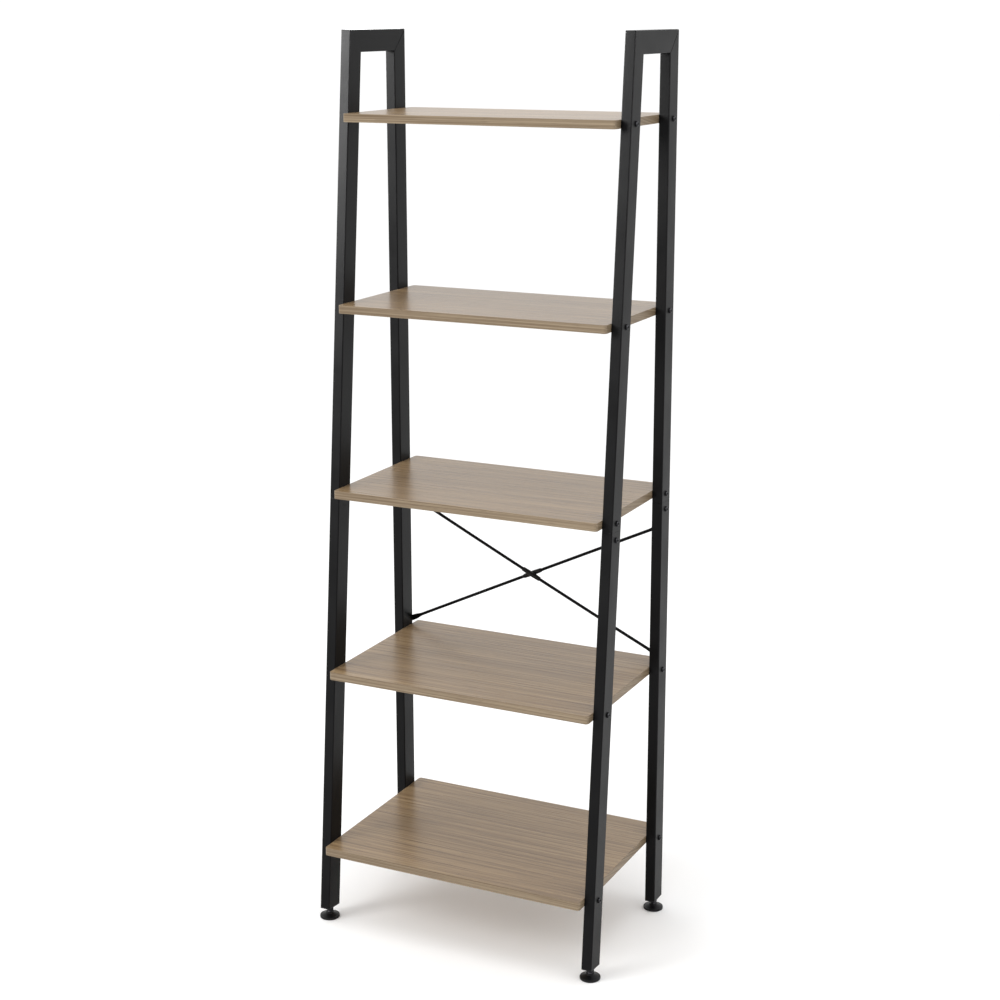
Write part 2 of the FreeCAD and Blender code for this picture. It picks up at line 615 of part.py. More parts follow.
def buildStud(side, sign, row):
    body = newBody(f"{side}_{row}_foot_stud")
    centre = alongPost(row, "Sizes.ball_height")
    shank = newSketch(body, "shank_sketch", "XY_Plane", centre)
    addCircle(shank, "0", "0", "Sizes.foot_thread / 2")
    pad(body, "shank", shank, f"Layout.stud_top - {centre}")
    collar = newSketch(body, "collar_sketch", "XY_Plane", "Layout.collar_base")
    addHexagon(collar, "0", "0", "Sizes.collar_across")
    pad(body, "collar", collar, "Sizes.collar_height")
    addBall(body, "PartDesign::AdditiveSphere", "ball", centre, "Sizes.ball_diameter / 2")
    placeOnColumn(body, sign, row)
    return body


def buildFootPad(side, sign, row):
    body = newBody(f"{side}_{row}_foot_pad")
    sketch = newSketch(body, "profile", "XZ_Plane")
    outer, boss, bevel = "Sizes.pad_diameter / 2", "Sizes.pad_boss / 2", "Sizes.pad_bevel"
    addPolygon(sketch, [("0", "0"), (f"{outer} - {bevel}", "0"), (outer, bevel), (outer, f"Sizes.pad_rim - {bevel}"),
                        (f"{outer} - {bevel}", "Sizes.pad_rim"), (boss, "Sizes.pad_rim + Sizes.pad_cone"),
                        (f"{boss} - {bevel} / 2", "Sizes.pad_boss_top"), ("0", "Sizes.pad_boss_top")])
    revolve(body, "turned", sketch, "V_Axis")
    socket = "Sizes.ball_diameter / 2 + Sizes.ball_clearance"
    addBall(body, "PartDesign::SubtractiveSphere", "socket", "Sizes.ball_height", socket)
    y = "Layout.front_axis + Layout.lean * Sizes.ball_height" if row == "front" else "Layout.rear_axis"
    place(body, f"{sign}Layout.post_x", y, "0")
    return body


for side, sign, row in columns:
    nodes.append(buildPlug(side, sign, row))
    nodes.append(buildFootNut(side, sign, row))
    nodes.append(buildStud(side, sign, row))
    nodes.append(buildFootPad(side, sign, row))

doc.recompute()
for thing in doc.Objects:
    if "Invalid" in thing.State or "Error" in thing.State:
        raise RuntimeError(f"{thing.Name} failed: {thing.State}")
for node in nodes:
    if node.Shape.isNull() or not node.Shape.isValid():
        raise RuntimeError(f"{node.Label} has no sound shape")

os.makedirs("parts", exist_ok=True)
for node in nodes:
    node.Shape.exportStep(f"parts/{node.Label}.step")
    box = node.Shape.BoundBox
    print(f"{node.Label}: {len(node.Shape.Solids)} solids, {node.Shape.Volume:.0f} mm3, "
          f"x {box.XMin:.1f}..{box.XMax:.1f} y {box.YMin:.1f}..{box.YMax:.1f} z {box.ZMin:.1f}..{box.ZMax:.1f}")
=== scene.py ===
import json
import math
import bmesh
import bpy
from mathutils import Matrix, Vector

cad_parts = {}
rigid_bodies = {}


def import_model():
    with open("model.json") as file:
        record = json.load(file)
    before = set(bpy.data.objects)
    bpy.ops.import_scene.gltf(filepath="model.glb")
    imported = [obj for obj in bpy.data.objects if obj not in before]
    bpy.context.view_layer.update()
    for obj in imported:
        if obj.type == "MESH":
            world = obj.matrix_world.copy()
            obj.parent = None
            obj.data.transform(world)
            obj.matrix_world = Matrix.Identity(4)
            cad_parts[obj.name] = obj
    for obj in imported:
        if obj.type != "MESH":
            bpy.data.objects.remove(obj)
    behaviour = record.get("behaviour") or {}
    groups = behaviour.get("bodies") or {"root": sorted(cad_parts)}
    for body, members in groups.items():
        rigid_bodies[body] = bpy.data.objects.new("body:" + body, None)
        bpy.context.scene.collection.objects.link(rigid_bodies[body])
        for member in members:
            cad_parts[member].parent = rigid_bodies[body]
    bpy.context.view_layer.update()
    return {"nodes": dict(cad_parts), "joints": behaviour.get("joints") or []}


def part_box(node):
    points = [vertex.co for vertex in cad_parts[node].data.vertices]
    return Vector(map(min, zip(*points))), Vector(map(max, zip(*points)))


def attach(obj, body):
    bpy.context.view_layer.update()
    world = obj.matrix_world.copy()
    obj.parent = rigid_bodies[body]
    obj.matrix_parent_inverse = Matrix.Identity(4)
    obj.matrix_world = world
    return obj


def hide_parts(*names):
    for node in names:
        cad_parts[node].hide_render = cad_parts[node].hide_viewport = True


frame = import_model()
print("frame loaded,", len(frame["nodes"]), "nodes")


# small helpers
closeBy = 1e-6    # points nearer than a thousandth of a millimetre are on the same plane


def linear(code):
    # sRGB hex to linear light
    parts = [int(code[i:i + 2], 16) / 255 for i in (1, 3, 5)]
    return [p / 12.92 if p <= 0.04045 else ((p + 0.055) / 1.055) ** 2.4 for p in parts] + [1.0]


def addNode(tree, kind, settings, links):
    node = tree.nodes.new("ShaderNode" + kind)
    for key, value in settings.items():
        if key == "stops":
            ramp = node.color_ramp
            while len(ramp.elements) < len(value):
                ramp.elements.new(0.5)
            for element, (place, colour) in zip(ramp.elements, value):
                element.position = place
                element.color = linear(colour)
        elif isinstance(key, str) and hasattr(node, key):
            setattr(node, key, value)
        else:
            node.inputs[key].default_value = value
    for key, socket in links.items():
        tree.links.new(socket, node.inputs[key])
    return node


def newVerts(geom):
    # the points that an extrude has just made
    return [g for g in geom if isinstance(g, bmesh.types.BMVert)]


def newEdges(geom, verts):
    # the edges between those points, where the next extrude starts
    return [g for g in geom if isinstance(g, bmesh.types.BMEdge) and all(v in verts for v in g.verts)]


def newMaterial(name, settings):
    # a Principled surface with its plain numbers set on the shader itself
    material = bpy.data.materials.new(name)
    material.use_nodes = True
    tree = material.node_tree
    tree.nodes.clear()
    shader = addNode(tree, "BsdfPrincipled", settings, {})
    addNode(tree, "OutputMaterial", {}, {"Surface": shader.outputs["BSDF"]})
    return material, tree, shader


def stretched(tree, source, scale):
    return addNode(tree, "Mapping", {"Scale": scale}, {"Vector": source}).outputs["Vector"]


def liesOn(edge, point, normal):
    return all(abs((v.co - point).dot(normal)) < closeBy for v in edge.verts)


def roundEdges(bm, offset, segments, angle=30, plain=()):
    # softens the arrises that turn by more than the angle, and leaves those on a plain plane alone
    sharp = [e for e in bm.edges if len(e.link_faces) == 2 and e.calc_face_angle(0) > math.radians(angle)]
    edges = [e for e in sharp if not any(liesOn(e, point, normal) for point, normal in plain)]
    bmesh.ops.bevel(bm, geom=edges, offset=offset, segments=segments, profile=0.5, affect="EDGES",
                    material=-1, clamp_overlap=True)


def ringSection(breadth, depth, corner, steps, wall):
    # a rounded rectangle with its middle taken out, flat on the floor
    bm = bmesh.new()
    bmesh.ops.create_grid(bm, x_segments=1, y_segments=1, size=0.5)
    bmesh.ops.scale(bm, vec=(breadth, depth, 1), verts=bm.verts)
    bmesh.ops.bevel(bm, geom=bm.verts[:], offset=corner, segments=steps, profile=0.5, affect="VERTICES",
                    material=-1)
    ring = bmesh.ops.inset_region(bm, faces=bm.faces[:], thickness=wall, use_boundary=True,
                                  use_even_offset=True)["faces"]
    bmesh.ops.delete(bm, geom=[f for f in bm.faces if f not in ring], context="FACES")
    return bm


def cutOff(bm, point, outwards):
    # takes away what lies beyond a plane
    bmesh.ops.bisect_plane(bm, geom=bm.verts[:] + bm.edges[:] + bm.faces[:], plane_co=point,
                           plane_no=outwards, clear_outer=True)


def drawOut(bm, length):
    grown = bmesh.ops.extrude_face_region(bm, geom=bm.faces[:])["geom"]
    bmesh.ops.translate(bm, vec=(0, 0, length), verts=newVerts(grown))
    bmesh.ops.recalc_face_normals(bm, faces=bm.faces[:])


def turnProfile(bm, points, steps, axis=(0, 0, 1)):
    # points are (radius, height); the outline is spun once round the axis
    up = Vector(axis)
    out = up.orthogonal().normalized()
    verts = [bm.verts.new(out * r + up * h) for r, h in points]
    edges = [bm.edges.new(pair) for pair in zip(verts, verts[1:])]
    bmesh.ops.spin(bm, geom=verts + edges, cent=(0, 0, 0), axis=up, dvec=(0, 0, 0),
                   angle=2 * math.pi, steps=steps, use_merge=True, use_duplicate=False)
    bmesh.ops.remove_doubles(bm, verts=bm.verts[:], dist=1e-7)


def finishPiece(name, bm, material, body, replaced, sharp=30, outward=True):
    # sharp is the angle past which an edge stays crisp
    bmesh.ops.remove_doubles(bm, verts=bm.verts[:], dist=1e-7)
    if outward:
        bmesh.ops.recalc_face_normals(bm, faces=bm.faces[:])
    mesh = bpy.data.meshes.new(name)
    bm.to_mesh(mesh)
    bm.free()
    mesh.materials.append(material)
    mesh.shade_smooth()
    mesh.set_sharp_from_angle(angle=math.radians(sharp))
    piece = bpy.data.objects.new(name, mesh)
    bpy.context.scene.collection.objects.link(piece)
    # large flat faces keep their own direction beside small round-overs
    flatten = piece.modifiers.new("flatFaces", "WEIGHTED_NORMAL")
    flatten.keep_sharp = True
    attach(piece, body)
    if replaced:
        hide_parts(*replaced)
    return piece


def stamp(bm, source, matrix):
    # puts a copy of a finished small shape into a larger one
    before = set(bm.verts)
    bm.from_mesh(source)
    bmesh.ops.transform(bm, matrix=matrix, verts=[v for v in bm.verts if v not in before])


# where things are
joints = {j["name"]: j for j in frame["joints"]}
corners = [(side, row) for side in ("left", "right") for row in ("front", "rear")]
columns = {}
for side, row in corners:
    turn = joints[f"{side}_{row}_stud_turn"]
    columns[side, row] = {"base": Vector(turn["pos_m"]), "up": -Vector(turn["axis"]).normalized()}


def onColumn(side, row, height):
    # the point of a post's axis at a height
    column = columns[side, row]
    return column["base"] + column["up"] * (height - column["base"].z) / column["up"].z


def columnMatrix(side, row, origin):
    up = columns[side, row]["up"]
    across = Vector((1, 0, 0))
    deep = up.cross(across)
    turned = Matrix((across, deep, up)).transposed().to_4x4()
    return Matrix.Translation(origin) @ turned


# materials
def makePowderCoat():
    # polyester powder coat, sprayed and baked on mild steel: matt black, faint orange peel, dry texture
    look = {"black": "#050506", "dusty": "#0B0B0C", "peelMm": 3.0, "textureMm": 0.8, "cloudMm": 91,
            "roughness": 0.36, "duller": 0.06, "glossier": 0.04, "peelDepth": 0.0003,
            "textureDepth": 0.00012}
    material, tree, shader = newMaterial("blackPowderCoatedSteel", {"Metallic": 0.0, "IOR": 1.5,
                                                                    "Specular IOR Level": 0.1})
    place = addNode(tree, "TexCoord", {}, {}).outputs["Object"]
    # real peel is about 2 mm and the texture 0.3 mm: both drawn coarser so that they show
    peel = addNode(tree, "TexNoise", {"Scale": 1000 / look["peelMm"], "Detail": 1.0}, {"Vector": place})
    texture = addNode(tree, "TexNoise", {"Scale": 1000 / look["textureMm"], "Detail": 2.0},
                      {"Vector": place})
    cloud = addNode(tree, "TexNoise", {"Scale": 1000 / look["cloudMm"], "Detail": 3.0}, {"Vector": place})
    tone = addNode(tree, "ValToRGB", {"stops": [(0.3, look["black"]), (0.75, look["dusty"])]},
                   {"Fac": cloud.outputs["Fac"]})
    tree.links.new(tone.outputs["Color"], shader.inputs["Base Color"])
    gloss = addNode(tree, "MapRange", {"From Min": 0.3, "From Max": 0.7,
                                       "To Min": look["roughness"] - look["glossier"],
                                       "To Max": look["roughness"] + look["duller"]},
                    {"Value": cloud.outputs["Fac"]})
    tree.links.new(gloss.outputs["Result"], shader.inputs["Roughness"])
    fine = addNode(tree, "Bump", {"Strength": 0.25, "Distance": look["textureDepth"]},
                   {"Height": texture.outputs["Fac"]})
    both = addNode(tree, "Bump", {"Strength": 0.3, "Distance": look["peelDepth"]},
                   {"Height": peel.outputs["Fac"], "Normal": fine.outputs["Normal"]})
    tree.links.new(both.outputs["Normal"], shader.inputs["Normal"])
    return material


# the layers of the grain: how often each repeats in a metre along the fibres and down into the board,
# how much detail it has, and how rough it is; across the fibres its size is the material's own.
# The wave bends them all: how often it repeats in a metre along, across and into the board
grainLayers = {"figure": (1.3, 17, 2.0, 0.6), "streak": (1.7, 90, 3.0, 0.65), "fibre": (7, 400, 2.0, 0.7),
               "pore": (30, 600, 1.0, 0.5)}
grainMix = {"wave": (2.2, 9, 7), "streakShare": 0.9, "fibreShare": 0.3, "poreFrom": 0.66, "poreTo": 0.74}


def woodGrain(tree, place, look):
    # fibres run along the first axis of the coordinates; returns colour, fibre height and pores
    slow = stretched(tree, place, grainMix["wave"])
    wave = addNode(tree, "TexNoise", {"Scale": 1.0, "Detail": 1.0}, {"Vector": slow})
    drift = addNode(tree, "VectorMath", {"operation": "MULTIPLY_ADD", 1: (0, look["drift"], 0)},
                    {0: wave.outputs["Color"], 2: place}).outputs["Vector"]
    layers = {}
    for name, (along, into, detail, roughness) in grainLayers.items():
        size = stretched(tree, drift, (along, 1000 / look[name + "Mm"], into))
        noise = addNode(tree, "TexNoise", {"Scale": 1.0, "Detail": detail, "Roughness": roughness},
                        {"Vector": size})
        layers[name] = noise.outputs["Fac"]
    half = addNode(tree, "Mix", {"data_type": "FLOAT", 0: grainMix["streakShare"]},
                   {2: layers["figure"], 3: layers["streak"]})
    blend = addNode(tree, "Mix", {"data_type": "FLOAT", 0: grainMix["fibreShare"]},
                    {2: half.outputs[0], 3: layers["fibre"]})
    stops = [(0.4, look["dark"]), (0.5, look["middle"]), (0.6, look["light"])]
    tone = addNode(tree, "ValToRGB", {"stops": stops}, {"Fac": blend.outputs[0]})
    hit = addNode(tree, "MapRange", {"From Min": grainMix["poreFrom"], "From Max": grainMix["poreTo"]},
                  {"Value": layers["pore"]})
    colour = addNode(tree, "Mix", {"data_type": "RGBA", "blend_type": "MIX", 7: linear(look["pore"])},
                     {0: hit.outputs["Result"], 6: tone.outputs["Color"]})
    return colour.outputs[2], layers["fibre"], hit.outputs["Result"]


def makeBoardLaminate():
    # melamine paper pressed on particleboard: straight ash grain in greige, satin, with faint pores;
    # real fibres and pores are under 1 mm wide and are drawn coarser so that they show
    look = {"dark": "#6F5940", "middle": "#856E51", "light": "#9A8262", "pore": "#6D5840",
            "figureMm": 22, "streakMm": 5.5, "fibreMm": 2.2, "poreMm": 1.2, "drift": 0.004,
            "roughness": 0.28, "duller": 0.07, "glossier": 0.05, "relief": 0.0001, "poreDepth": 0.00015}
    material, tree, shader = newMaterial("ashGrainMelamine", {"Metallic": 0.0, "IOR": 1.5})
    place = addNode(tree, "TexCoord", {}, {}).outputs["Object"]
    colour, fibre, pores = woodGrain(tree, place, look)
    tree.links.new(colour, shader.inputs["Base Color"])
    gloss = addNode(tree, "MapRange", {"To Min": look["roughness"] - look["glossier"],
                                       "To Max": look["roughness"] + look["duller"]}, {"Value": fibre})
    tree.links.new(gloss.outputs["Result"], shader.inputs["Roughness"])
    grain = addNode(tree, "Bump", {"Strength": 0.2, "Distance": look["relief"]}, {"Height": fibre})
    pressed = addNode(tree, "Bump", {"Strength": 0.3, "Distance": look["poreDepth"], "invert": True},
                      {"Height": pores, "Normal": grain.outputs["Normal"]})
    tree.links.new(pressed.outputs["Normal"], shader.inputs["Normal"])
    return material


def makeEdgeBand():
    # printed ABS edge banding, ironed on: the same grain along the edge, a little greyer and less glossy
    look = {"dark": "#675642", "middle": "#7B6B56", "light": "#90806A", "pore": "#5E4E3C",
            "figureMm": 9, "streakMm": 2.6, "fibreMm": 1.0, "poreMm": 0.8, "drift": 0.004,
            "roughness": 0.42, "duller": 0.06, "glossier": 0.04, "relief": 0.0001}
    material, tree, shader = newMaterial("ashGrainEdgeBand", {"Metallic": 0.0, "IOR": 1.5,
                                                              "Specular IOR Level": 0.3})
    along = addNode(tree, "UVMap", {"uv_map": "alongEdge"}, {}).outputs["UV"]
    colour, fibre, pores = woodGrain(tree, along, look)
    tree.links.new(colour, shader.inputs["Base Color"])
    gloss = addNode(tree, "MapRange", {"To Min": look["roughness"] - look["glossier"],
                                       "To Max": look["roughness"] + look["duller"]}, {"Value": fibre})
    tree.links.new(gloss.outputs["Result"], shader.inputs["Roughness"])
    grain = addNode(tree, "Bump", {"Strength": 0.2, "Distance": look["relief"]}, {"Height": fibre})
    tree.links.new(grain.outputs["Normal"], shader.inputs["Normal"])
    return material


def makeFine(name, settings, look):
    # a fine surface over a plain stuff: two tones, uneven gloss and a grain, whose real size is 0.3 mm
    # or less and which is drawn coarser so that it shows
    material, tree, shader = newMaterial(name, settings)
    place = addNode(tree, "TexCoord", {}, {}).outputs["Object"]
    cloud = addNode(tree, "TexNoise", {"Scale": 1000 / look["cloudMm"], "Detail": 3.0}, {"Vector": place})
    grain = addNode(tree, "TexNoise", {"Scale": 1000 / look["grainMm"], "Detail": 2.0}, {"Vector": place})
    tone = addNode(tree, "ValToRGB", {"stops": [(0.35, look["dark"]), (0.7, look["light"])]},
                   {"Fac": cloud.outputs["Fac"]})
    tree.links.new(tone.outputs["Color"], shader.inputs["Base Color"])
    gloss = addNode(tree, "MapRange", {"To Min": look["roughness"] - look["uneven"],
                                       "To Max": look["roughness"] + look["uneven"]},
                    {"Value": cloud.outputs["Fac"]})
    tree.links.new(gloss.outputs["Result"], shader.inputs["Roughness"])
    relief = addNode(tree, "Bump", {"Strength": 0.35, "Distance": look["depth"]},
                     {"Height": grain.outputs["Fac"]})
    tree.links.new(relief.outputs["Normal"], shader.inputs["Normal"])
    return material


powderCoat = makePowderCoat()
laminate = makeBoardLaminate()
edgeBand = makeEdgeBand()
bareMetal = {"Metallic": 1.0}
dullPlastic = {"Metallic": 0.0, "IOR": 1.53, "Specular IOR Level": 0.2}
# black oxide on steel: a thin dark film, the metal still glints on the arrises
blackOxide = makeFine("blackOxideSteel", bareMetal, {
    "dark": "#202022", "light": "#2E2E30", "grainMm": 0.5, "cloudMm": 3.3, "roughness": 0.42,
    "uneven": 0.08, "depth": 0.00003})
# black zinc on the foot studs: duller and a little lighter than the oxide
blackZinc = makeFine("blackZincSteel", bareMetal, {
    "dark": "#242426", "light": "#333134", "grainMm": 0.5, "cloudMm": 3.8, "roughness": 0.46,
    "uneven": 0.08, "depth": 0.00003})
# bright zinc plate: pale grey metal with a faint patchy bloom
zincPlate = makeFine("zincPlatedSteel", bareMetal, {
    "dark": "#A9ABAD", "light": "#C4C4C2", "grainMm": 0.5, "cloudMm": 5, "roughness": 0.32,
    "uneven": 0.08, "depth": 0.00003})
# cold rolled steel as it comes from the mill: slightly oily grey
millSteel = makeFine("millFinishSteel", bareMetal, {
    "dark": "#6E6E6E", "light": "#8A8A88", "grainMm": 0.6, "cloudMm": 11, "roughness": 0.45,
    "uneven": 0.08, "depth": 0.00004})
# moulded ABS with a spark-eroded texture: black, dry sheen
mouldedAbs = makeFine("mouldedBlackAbs", dullPlastic, {
    "dark": "#0C0C0D", "light": "#131314", "grainMm": 0.7, "cloudMm": 8, "roughness": 0.42,
    "uneven": 0.08, "depth": 0.00008})
# moulded nylon: black, a touch glossier than ABS
mouldedNylon = makeFine("mouldedBlackNylon", dullPlastic, {
    "dark": "#0B0B0C", "light": "#111112", "grainMm": 0.7, "cloudMm": 7, "roughness": 0.36,
    "uneven": 0.08, "depth": 0.00005})
print("materials made")

# the frame's own pieces that keep their shape and get their finish here, by the end of their names
carried = {"_board": laminate, "_inserts": zincPlate, "foot_nut": zincPlate, "rivet_nuts": zincPlate,
           "joint_sleeve": millSteel, "foot_plug": mouldedAbs}
for name, node in frame["nodes"].items():
    for ending, material in carried.items():
        if name.endswith(ending):
            node.material_slots[0].material = material


# frame tubes
tube = {"breadth": 0.020, "depth": 0.040, "corner": 0.002, "cornerSteps": 5, "wall": 0.0012,
        "endRound": 0.0005, "endSteps": 2, "endAngle": 50, "crispAngle": 28, "seam": 0.0004, "spare": 0.02}


def drawTube(start, turned, length, mitres):
    # the section drawn out along Z, then cut at each mitre plane and its wall closed there
    bm = ringSection(tube["breadth"], tube["depth"], tube["corner"], tube["cornerSteps"], tube["wall"])
    drawOut(bm, length)
    bmesh.ops.transform(bm, matrix=Matrix.Translation(start) @ turned, verts=bm.verts)
    for point, outwards in mitres:
        cutOff(bm, point, outwards)
        bmesh.ops.bridge_loops(bm, edges=[e for e in bm.edges if e.is_boundary])
    return bm


def finishTube(name, bm, plain, replaced):
    roundEdges(bm, tube["endRound"], tube["endSteps"], tube["endAngle"], plain)
    return finishPiece(name, bm, powderCoat, "frame", [replaced], tube["crispAngle"])


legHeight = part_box("left_rear_lower_post")[0].z
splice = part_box("left_rear_lower_post")[1].z
for side in ("left", "right"):
    low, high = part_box(f"{side}_top_rail")
    middle = (low.x + high.x) / 2
    frontUp = columns[side, "front"]["up"]
    # the mitres halve the angle between each post and the rail
    halfAngle = (math.pi / 2 - math.atan(frontUp.y / frontUp.z)) / 2
    inner = low.y + tube["depth"] * math.tan(halfAngle)
    frontLine = Vector((0, inner - low.y, low.z - high.z)).normalized()
    rearLine = Vector((0, -tube["depth"], low.z - high.z)).normalized()
    across = Vector((1, 0, 0))
    frontMitre = (Vector((middle, low.y, high.z)), frontLine.cross(across))
    rearMitre = (Vector((middle, high.y, high.z)), across.cross(rearLine))
    # both normals are turned to point towards the rail
    if frontMitre[1].y < 0:
        frontMitre = (frontMitre[0], -frontMitre[1])
    if rearMitre[1].y > 0:
        rearMitre = (rearMitre[0], -rearMitre[1])
    # the front mitre is ground flush and the rear one is left with an open seam
    seam = rearMitre[1] * tube["seam"]
    for row, mitre in (("front", frontMitre), ("rear", (rearMitre[0] - seam, rearMitre[1]))):
        bottom, middleJoint = onColumn(side, row, legHeight), onColumn(side, row, splice)
        turned = columnMatrix(side, row, Vector())
        lower = drawTube(bottom, turned, (middleJoint - bottom).length, [])
        finishTube(f"{side}_{row}_lower_post_tube", lower, [], f"{side}_{row}_lower_post")
        rise = (high.z - splice) / columns[side, row]["up"].z
        upper = drawTube(middleJoint, turned, rise + tube["spare"], [mitre])
        finishTube(f"{side}_{row}_upper_post_tube", upper, [frontMitre], f"{side}_{row}_upper_post")
    lying = Matrix.Rotation(math.radians(-90), 4, "X")
    rail = drawTube(Vector((middle, low.y - tube["spare"] / 2, (low.z + high.z) / 2)), lying,
                    high.y - low.y + tube["spare"],
                    [(frontMitre[0], -frontMitre[1]), (rearMitre[0] + seam, -rearMitre[1])])
    finishTube(f"{side}_top_rail_tube", rail, [frontMitre], f"{side}_top_rail")
print("frame tubes made")


# board edges
band = {"corner": 0.006, "cornerSteps": 8, "thickness": 0.001, "arris": 0.0005, "arrisSteps": 3,
        "sideStart": 3, "sideRise": 0.09, "boardRise": 0.31, "slant": 0.2}


def buildBand(number):
    low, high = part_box(f"shelf_{number}_edge_band")
    middle = (low + high) / 2
    size = high - low
    bm = ringSection(size.x, size.y, band["corner"], band["cornerSteps"], band["thickness"])
    drawOut(bm, size.z)
    bmesh.ops.translate(bm, vec=(middle.x, middle.y, low.z), verts=bm.verts)
    upright = [f for f in bm.faces if abs(f.normal.z) < 0.1]
    walls = [f for f in upright if f.normal.dot(f.calc_center_median() - middle) > 0]
    arrises = {e for f in walls for e in f.edges if abs(e.verts[0].co.z - e.verts[1].co.z) < closeBy}
    bmesh.ops.bevel(bm, geom=list(arrises), offset=band["arris"], segments=band["arrisSteps"],
                    profile=0.5, affect="EDGES", material=-1)
    # the grain follows the edge: length along it, then height, in metres, each side with its own stretch
    lay = bm.loops.layers.uv.new("alongEdge")
    for face in bm.faces:
        alongX = abs(face.normal.y) > abs(face.normal.x)
        for loop in face.loops:
            co = loop.vert.co
            along = co.x if alongX else co.y + band["sideStart"]
            start = band["boardRise"] * number + (0 if alongX else band["sideRise"])
            loop[lay].uv = (along, co.z + start + co.y * band["slant"])
    return finishPiece(f"shelf_{number}_edge_banding", bm, edgeBand, "frame",
                       [f"shelf_{number}_edge_band"])


for number in range(1, 6):
    buildBand(number)
print("board edges made")


# button head screws
screw = {"thread": 0.006, "head": 0.0105, "headHeight": 0.0033, "key": 0.004, "keyDepth": 0.0022,
         "keyRim": 0.0004, "keyChamfer": 0.0001, "underRim": 0.0002, "pitch": 0.001,
         "threadDepth": 0.0006, "plainLength": 0.003, "threadEnd": 0.0008, "point": 0.0006, "rim": 0.0009,
         "domeSteps": 7, "steps": 36, "keyStart": 17, "keyStep": 47, "crispAngle": 32, "boardEnd": 0.253,
         "braceLength": 0.014}


def buildScrew(length):
    # along X: the head's underside at the origin, the shank to -X
    bm = bmesh.new()
    hexRound = screw["key"] / math.sqrt(3)
    radius, height, rim = screw["head"] / 2, screw["headHeight"], screw["rim"]
    mouth = hexRound + screw["keyRim"]
    dome = [(mouth, height)]
    for step in range(1, screw["domeSteps"] + 1):
        # a flat arc from the key's edge down to the rim
        t = step / screw["domeSteps"] * math.pi / 2
        dome.append((mouth + (radius - mouth) * math.sin(t), rim + (height - rim) * math.cos(t)))
    pitch, point, ridge = screw["pitch"], screw["point"], screw["plainLength"]
    major = screw["thread"] / 2
    minor = major - screw["threadDepth"]
    under = [(radius - screw["underRim"], 0), (major, 0), (major, -ridge)]
    while ridge + pitch < length - screw["threadEnd"]:
        under += [(minor, -ridge - pitch / 2), (major, -ridge - pitch)]
        ridge += pitch
    under += [(major, -length + point), (major - point, -length), (0, -length)]
    turnProfile(bm, dome + under, screw["steps"])
    opening = [e for e in bm.edges if e.is_boundary and abs(e.verts[0].co.z - height) < closeBy]
    key = bmesh.ops.create_circle(bm, segments=6, radius=hexRound, cap_ends=False)["verts"]
    bmesh.ops.translate(bm, vec=(0, 0, height - screw["keyChamfer"]), verts=key)
    keyEdges = list({e for v in key for e in v.link_edges})
    bmesh.ops.bridge_loops(bm, edges=opening + keyEdges)
    sunk = newVerts(bmesh.ops.extrude_edge_only(bm, edges=keyEdges)["geom"])
    bmesh.ops.translate(bm, vec=(0, 0, -screw["keyDepth"]), verts=sunk)
    bmesh.ops.contextual_create(bm, geom=sunk)
    bmesh.ops.recalc_face_normals(bm, faces=bm.faces[:])
    bmesh.ops.rotate(bm, matrix=Matrix.Rotation(math.radians(90), 3, "Y"), verts=bm.verts)
    mesh = bpy.data.meshes.new("screwPattern")
    bm.to_mesh(mesh)
    bm.free()
    return mesh


def screwGroup(name, pattern, spots, replaced):
    bm = bmesh.new()
    for point, turn in spots:
        # each screw stops with its hexagon at another angle
        keyTurn = screw["keyStart"] + screw["keyStep"] * len(bm.verts) % 60
        stamp(bm, pattern, Matrix.Translation(point) @ Matrix.Rotation(math.radians(turn), 4, "Z")
              @ Matrix.Rotation(math.radians(keyTurn), 4, "X"))
    return finishPiece(name, bm, blackOxide, "frame", [replaced], screw["crispAngle"])


def faceSpots(height):
    # both outer faces, on the front and the rear post
    spots = []
    for side, row in corners:
        point = onColumn(side, row, height)
        low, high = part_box(f"{side}_{row}_lower_post")
        face, turn = (low.x, 180) if side == "left" else (high.x, 0)
        spots.append((Vector((face, point.y, height)), turn))
    return spots


def middleHeight(node):
    low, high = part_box(node)
    return (low.z + high.z) / 2


boardScrew = buildScrew(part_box("shelf_1_screws")[1].x - screw["headHeight"] - screw["boardEnd"])
jointScrew = buildScrew(tube["breadth"])
braceScrew = buildScrew(screw["braceLength"])
for number in range(1, 6):
    screwGroup(f"shelf_{number}_button_screws", boardScrew,
               faceSpots(middleHeight(f"shelf_{number}_screws")), f"shelf_{number}_screws")
screwGroup("post_joint_button_screws", jointScrew, faceSpots(middleHeight("post_joint_screws")),
           "post_joint_screws")
print("screws made")


# crossed brace
brace = {"rod": 0.006, "bow": 0.0033, "eye": 0.015, "eyeHole": 0.0065, "plate": 0.0022, "neck": 0.011,
         "tip": 0.0045, "neckAt": 0.010, "flatTo": 0.016, "roundFrom": 0.034, "sides": 20, "eyeSteps": 40,
         "flange": 0.001, "taperSteps": 6, "bowSteps": 11, "eyeRound": 0.0005, "crispAngle": 35}
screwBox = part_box("brace_screws")
braceLow = screwBox[0].z + screw["head"] / 2
braceHigh = screwBox[1].z - screw["head"] / 2
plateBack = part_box("left_rear_upper_post")[1].y + brace["flange"]
rodRise = brace["flange"] + brace["rod"] / 2
postX = (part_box("right_rear_foot_stud")[0].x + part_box("right_rear_foot_stud")[1].x) / 2
reach = math.hypot(2 * postX, braceHigh - braceLow) / 2
tilt = math.atan2(braceHigh - braceLow, 2 * postX)
crossing = Vector((0, plateBack - brace["flange"], (braceLow + braceHigh) / 2))


